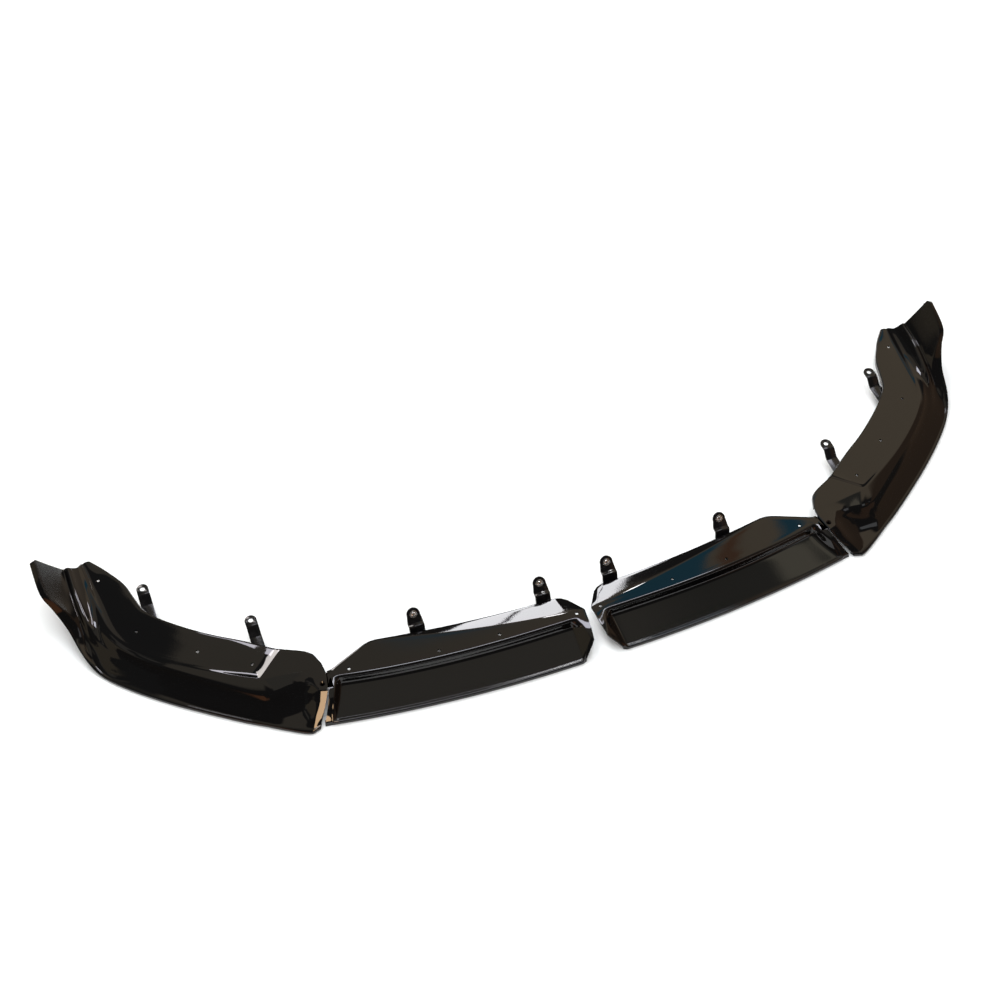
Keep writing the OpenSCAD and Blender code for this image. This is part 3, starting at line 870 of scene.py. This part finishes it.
def softbox(name, at, target, width, height, power, colour, seen=True, lights_floor=True):
    """A rectangular lamp. The gloss mirrors it where it is seen."""
    light = bpy.data.lights.new(name, "AREA")
    light.shape = "RECTANGLE"
    light.size, light.size_y = width, height
    light.energy = power
    light.color = colour
    ob = bpy.data.objects.new(name, light)
    ob.location = at
    ob.rotation_euler = (Vector(target) - Vector(at)).to_track_quat("-Z", "Y").to_euler()
    ob.visible_glossy = seen
    ob.visible_diffuse = lights_floor
    ob.visible_camera = False
    bpy.context.scene.collection.objects.link(ob)


# Small panes that only the gloss mirrors: name, place, target, width, height, power, colour.
# They stand for the bright spots on the left joint, the left ridge and the inner tabs' ledges.
SMALL_PANES = [
    ("joint_pane", (-0.521, -0.238, 0.120), (-0.51, -0.195, 0.02), 0.05, 0.05, 0.12, (1.0, 0.66, 0.38)),
    ("ridge_pane", (-0.575, 0.350, 0.445), (-0.87, 0.15, 0.08), 0.15, 0.06, 0.36, (0.93, 0.90, 1.0)),
    ("left_ledge_pane", (0.0135, 0.045, 0.272), (-0.0665, -0.12, 0.035), 0.04, 0.04, 0.2, (1.0, 1.0, 1.0)),
    ("right_ledge_pane", (0.175, 0.039, 0.266), (0.0665, -0.12, 0.035), 0.04, 0.04, 0.2, (1.0, 1.0, 1.0))]


def painted_room(w, x, y, z, cloud, fine):
    """The dim room that the gloss mirrors: the ray's direction is x, y to the rear and z up."""
    room = w.tint(w.ramp(z, 0.2, 0.6), (0.10, 0.085, 0.07), (0.085, 0.08, 0.075))
    to_right = w.ramp(x, 0.57, 0.62)
    layers = [
        # Warm ceiling, brighter to the right
        (w.ramp(y, 0.13, 0.17) * w.fall(y, 0.74, 0.80) * w.ramp(z, 0.56, 0.62) * w.ramp(x, -0.33, -0.29),
         w.tint(w.ramp(x, 0.05, 0.42), (0.58, 0.51, 0.41), (1.05, 0.85, 0.61))),
        # Dimmer part straight above, mirrored by the trays, and a light patch in it
        (w.window(y, 0.08, 0.31) * w.window(x, -0.03, 0.46, 0.02) * w.ramp(z, 0.85, 0.87),
         w.tint(w.ramp(x, 0.24, 0.34), (0.50, 0.46, 0.39), (0.29, 0.28, 0.24))),
        (w.window(x, 0.392, 0.425, 0.006) * w.window(y, 0.1, 0.28), (1.15, 1.05, 0.82)),
        # Dark beam with a pale cloud in it, on the tail of the left deck
        (w.ramp(y - 1.2 * x + 0.03 * fine, 0.572, 0.578) * w.fall(x, 0.05, 0.07) * w.ramp(z, 0.7, 0.75),
         w.tint(w.ramp(cloud, 0.56, 0.60), (0.11, 0.11, 0.105), (0.45, 0.42, 0.37))),
        # Daylight on the centre decks: bluish on the left one, teal and rust on the right one
        (w.window(x, 0.13, 0.19, 0.03) * w.window(y, 0.42, 0.58) * w.ramp(cloud, 0.42, 0.55),
         (0.40, 0.56, 0.66)),
        (w.window(x + 0.05 * fine, 0.28, 0.345, 0.004) * w.window(y, 0.41, 0.60)
         + w.window(x + 0.03 * fine, 0.378, 0.394, 0.003) * w.window(y, 0.43, 0.50),
         (0.12, 0.52, 0.78)),
        (w.window(x + 0.03 * fine, 0.342, 0.352, 0.003) * w.window(y, 0.41, 0.53), (0.75, 0.36, 0.19)),
        # Right wall, brown above and dark towards the front, with a pale streak
        (to_right * w.fall(y, 0.28, 0.36), (0.34, 0.22, 0.14)),
        (to_right * w.fall(y, -0.22, -0.17), (0.09, 0.08, 0.07)),
        (w.window(x + 0.1 * fine, 0.50, 0.60) * w.window(y, -0.12, 0.05), (1.1, 1.12, 1.15)),
        # Left wall beside the fin, and rust and brown towards the front
        (w.fall(x, -0.56, -0.50) * w.window(y + 0.1 * fine, 0.05, 0.40), (0.50, 0.42, 0.30)),
        (w.fall(x, -0.45, -0.38) * w.fall(y, -0.60, -0.52), (0.95, 0.40, 0.19)),
        (w.ramp(x, 0.38, 0.45) * w.fall(y, -0.42, -0.35), (0.40, 0.24, 0.15)),
        # Right rear corner
        (w.ramp(x, 0.50, 0.58) * w.ramp(y, 0.42, 0.50), (0.62, 0.50, 0.38)),
        # Bright pane on the left pad's bevel and a tube on the trays' rear edges
        (w.window(x, -0.27, -0.005) * w.ramp(y, 0.615, 0.625) * w.ramp(z, 0.45, 0.5), (15.0, 14.0, 13.5)),
        (w.window(y, 0.30, 0.372, 0.004) * w.window(x, 0.05, 0.33) * w.ramp(z, 0.5, 0.6),
         (13.0, 13.0, 14.5))]
    for mask, colour in layers:
        room = w.tint(mask, room, colour)
    return room


def studio():
    """The painted room, two tall panes behind, the small panes, and a fill from above."""
    world = bpy.data.worlds.new("studio")
    bpy.context.scene.world = world
    world.use_nodes = True
    w = Nodes(world.node_tree)
    ray = w.coords("Generated")
    x, y, z = w.axes(ray)
    room = painted_room(w, x, y, z, w.noise(5.5, 2, 0.5, ray), w.noise(28, 3, 0.6, ray))
    glow = w.node("ShaderNodeBackground", {}, {"Color": room})
    w.node("ShaderNodeOutputWorld", {}, {"Surface": glow})
    for pane_x in (0.69, 0.91):
        softbox("rear_pane", (pane_x, 3.0, 1.9), (pane_x - 0.9, 0, 0), width=0.19, height=1.4,
                power=14, colour=(0.97, 0.97, 1.0))
    for name, at, target, width, height, power, colour in SMALL_PANES:
        softbox(name, at, target, width, height, power, colour, lights_floor=False)
    softbox("overhead_fill", (0, 0, 5.0), (0, 0, 0), width=8.0, height=8.0,
            power=345, colour=(0.975, 0.99, 1.0), seen=False)


# The photograph's viewpoint in the shared frame, in metres, and its lens in millimetres
CAMERA_AT = (-0.7044, -1.5896, 2.4868)
CAMERA_AIM = (0.20951, 0.55868, -0.80248)
LENS = 57.6
SENSOR_W = 36


def camera():
    """The camera at the photograph's viewing angle."""
    cam = bpy.data.cameras.new("camera")
    cam.lens = LENS
    cam.sensor_width = SENSOR_W
    ob = bpy.data.objects.new("camera", cam)
    ob.location = CAMERA_AT
    ob.rotation_euler = Vector(CAMERA_AIM).to_track_quat("-Z", "Y").to_euler()
    bpy.context.scene.collection.objects.link(ob)
    bpy.context.scene.camera = ob


camera()
black, strip_black, steel = gloss_black(), tab_black(), zinc_steel()
build_centre(black)
build_outer(black)
for side_name, side in SIDES:
    for where in ("inner", "outer"):
        build_long_tab(side_name, side, where, strip_black)
        build_crank_tab(side_name, side, where, strip_black)
        build_cap_screw(side_name, side, where, steel)
    dress_boss_screws(side_name, steel)
floor()
studio()
bpy.context.scene.view_settings.view_transform = "Standard"
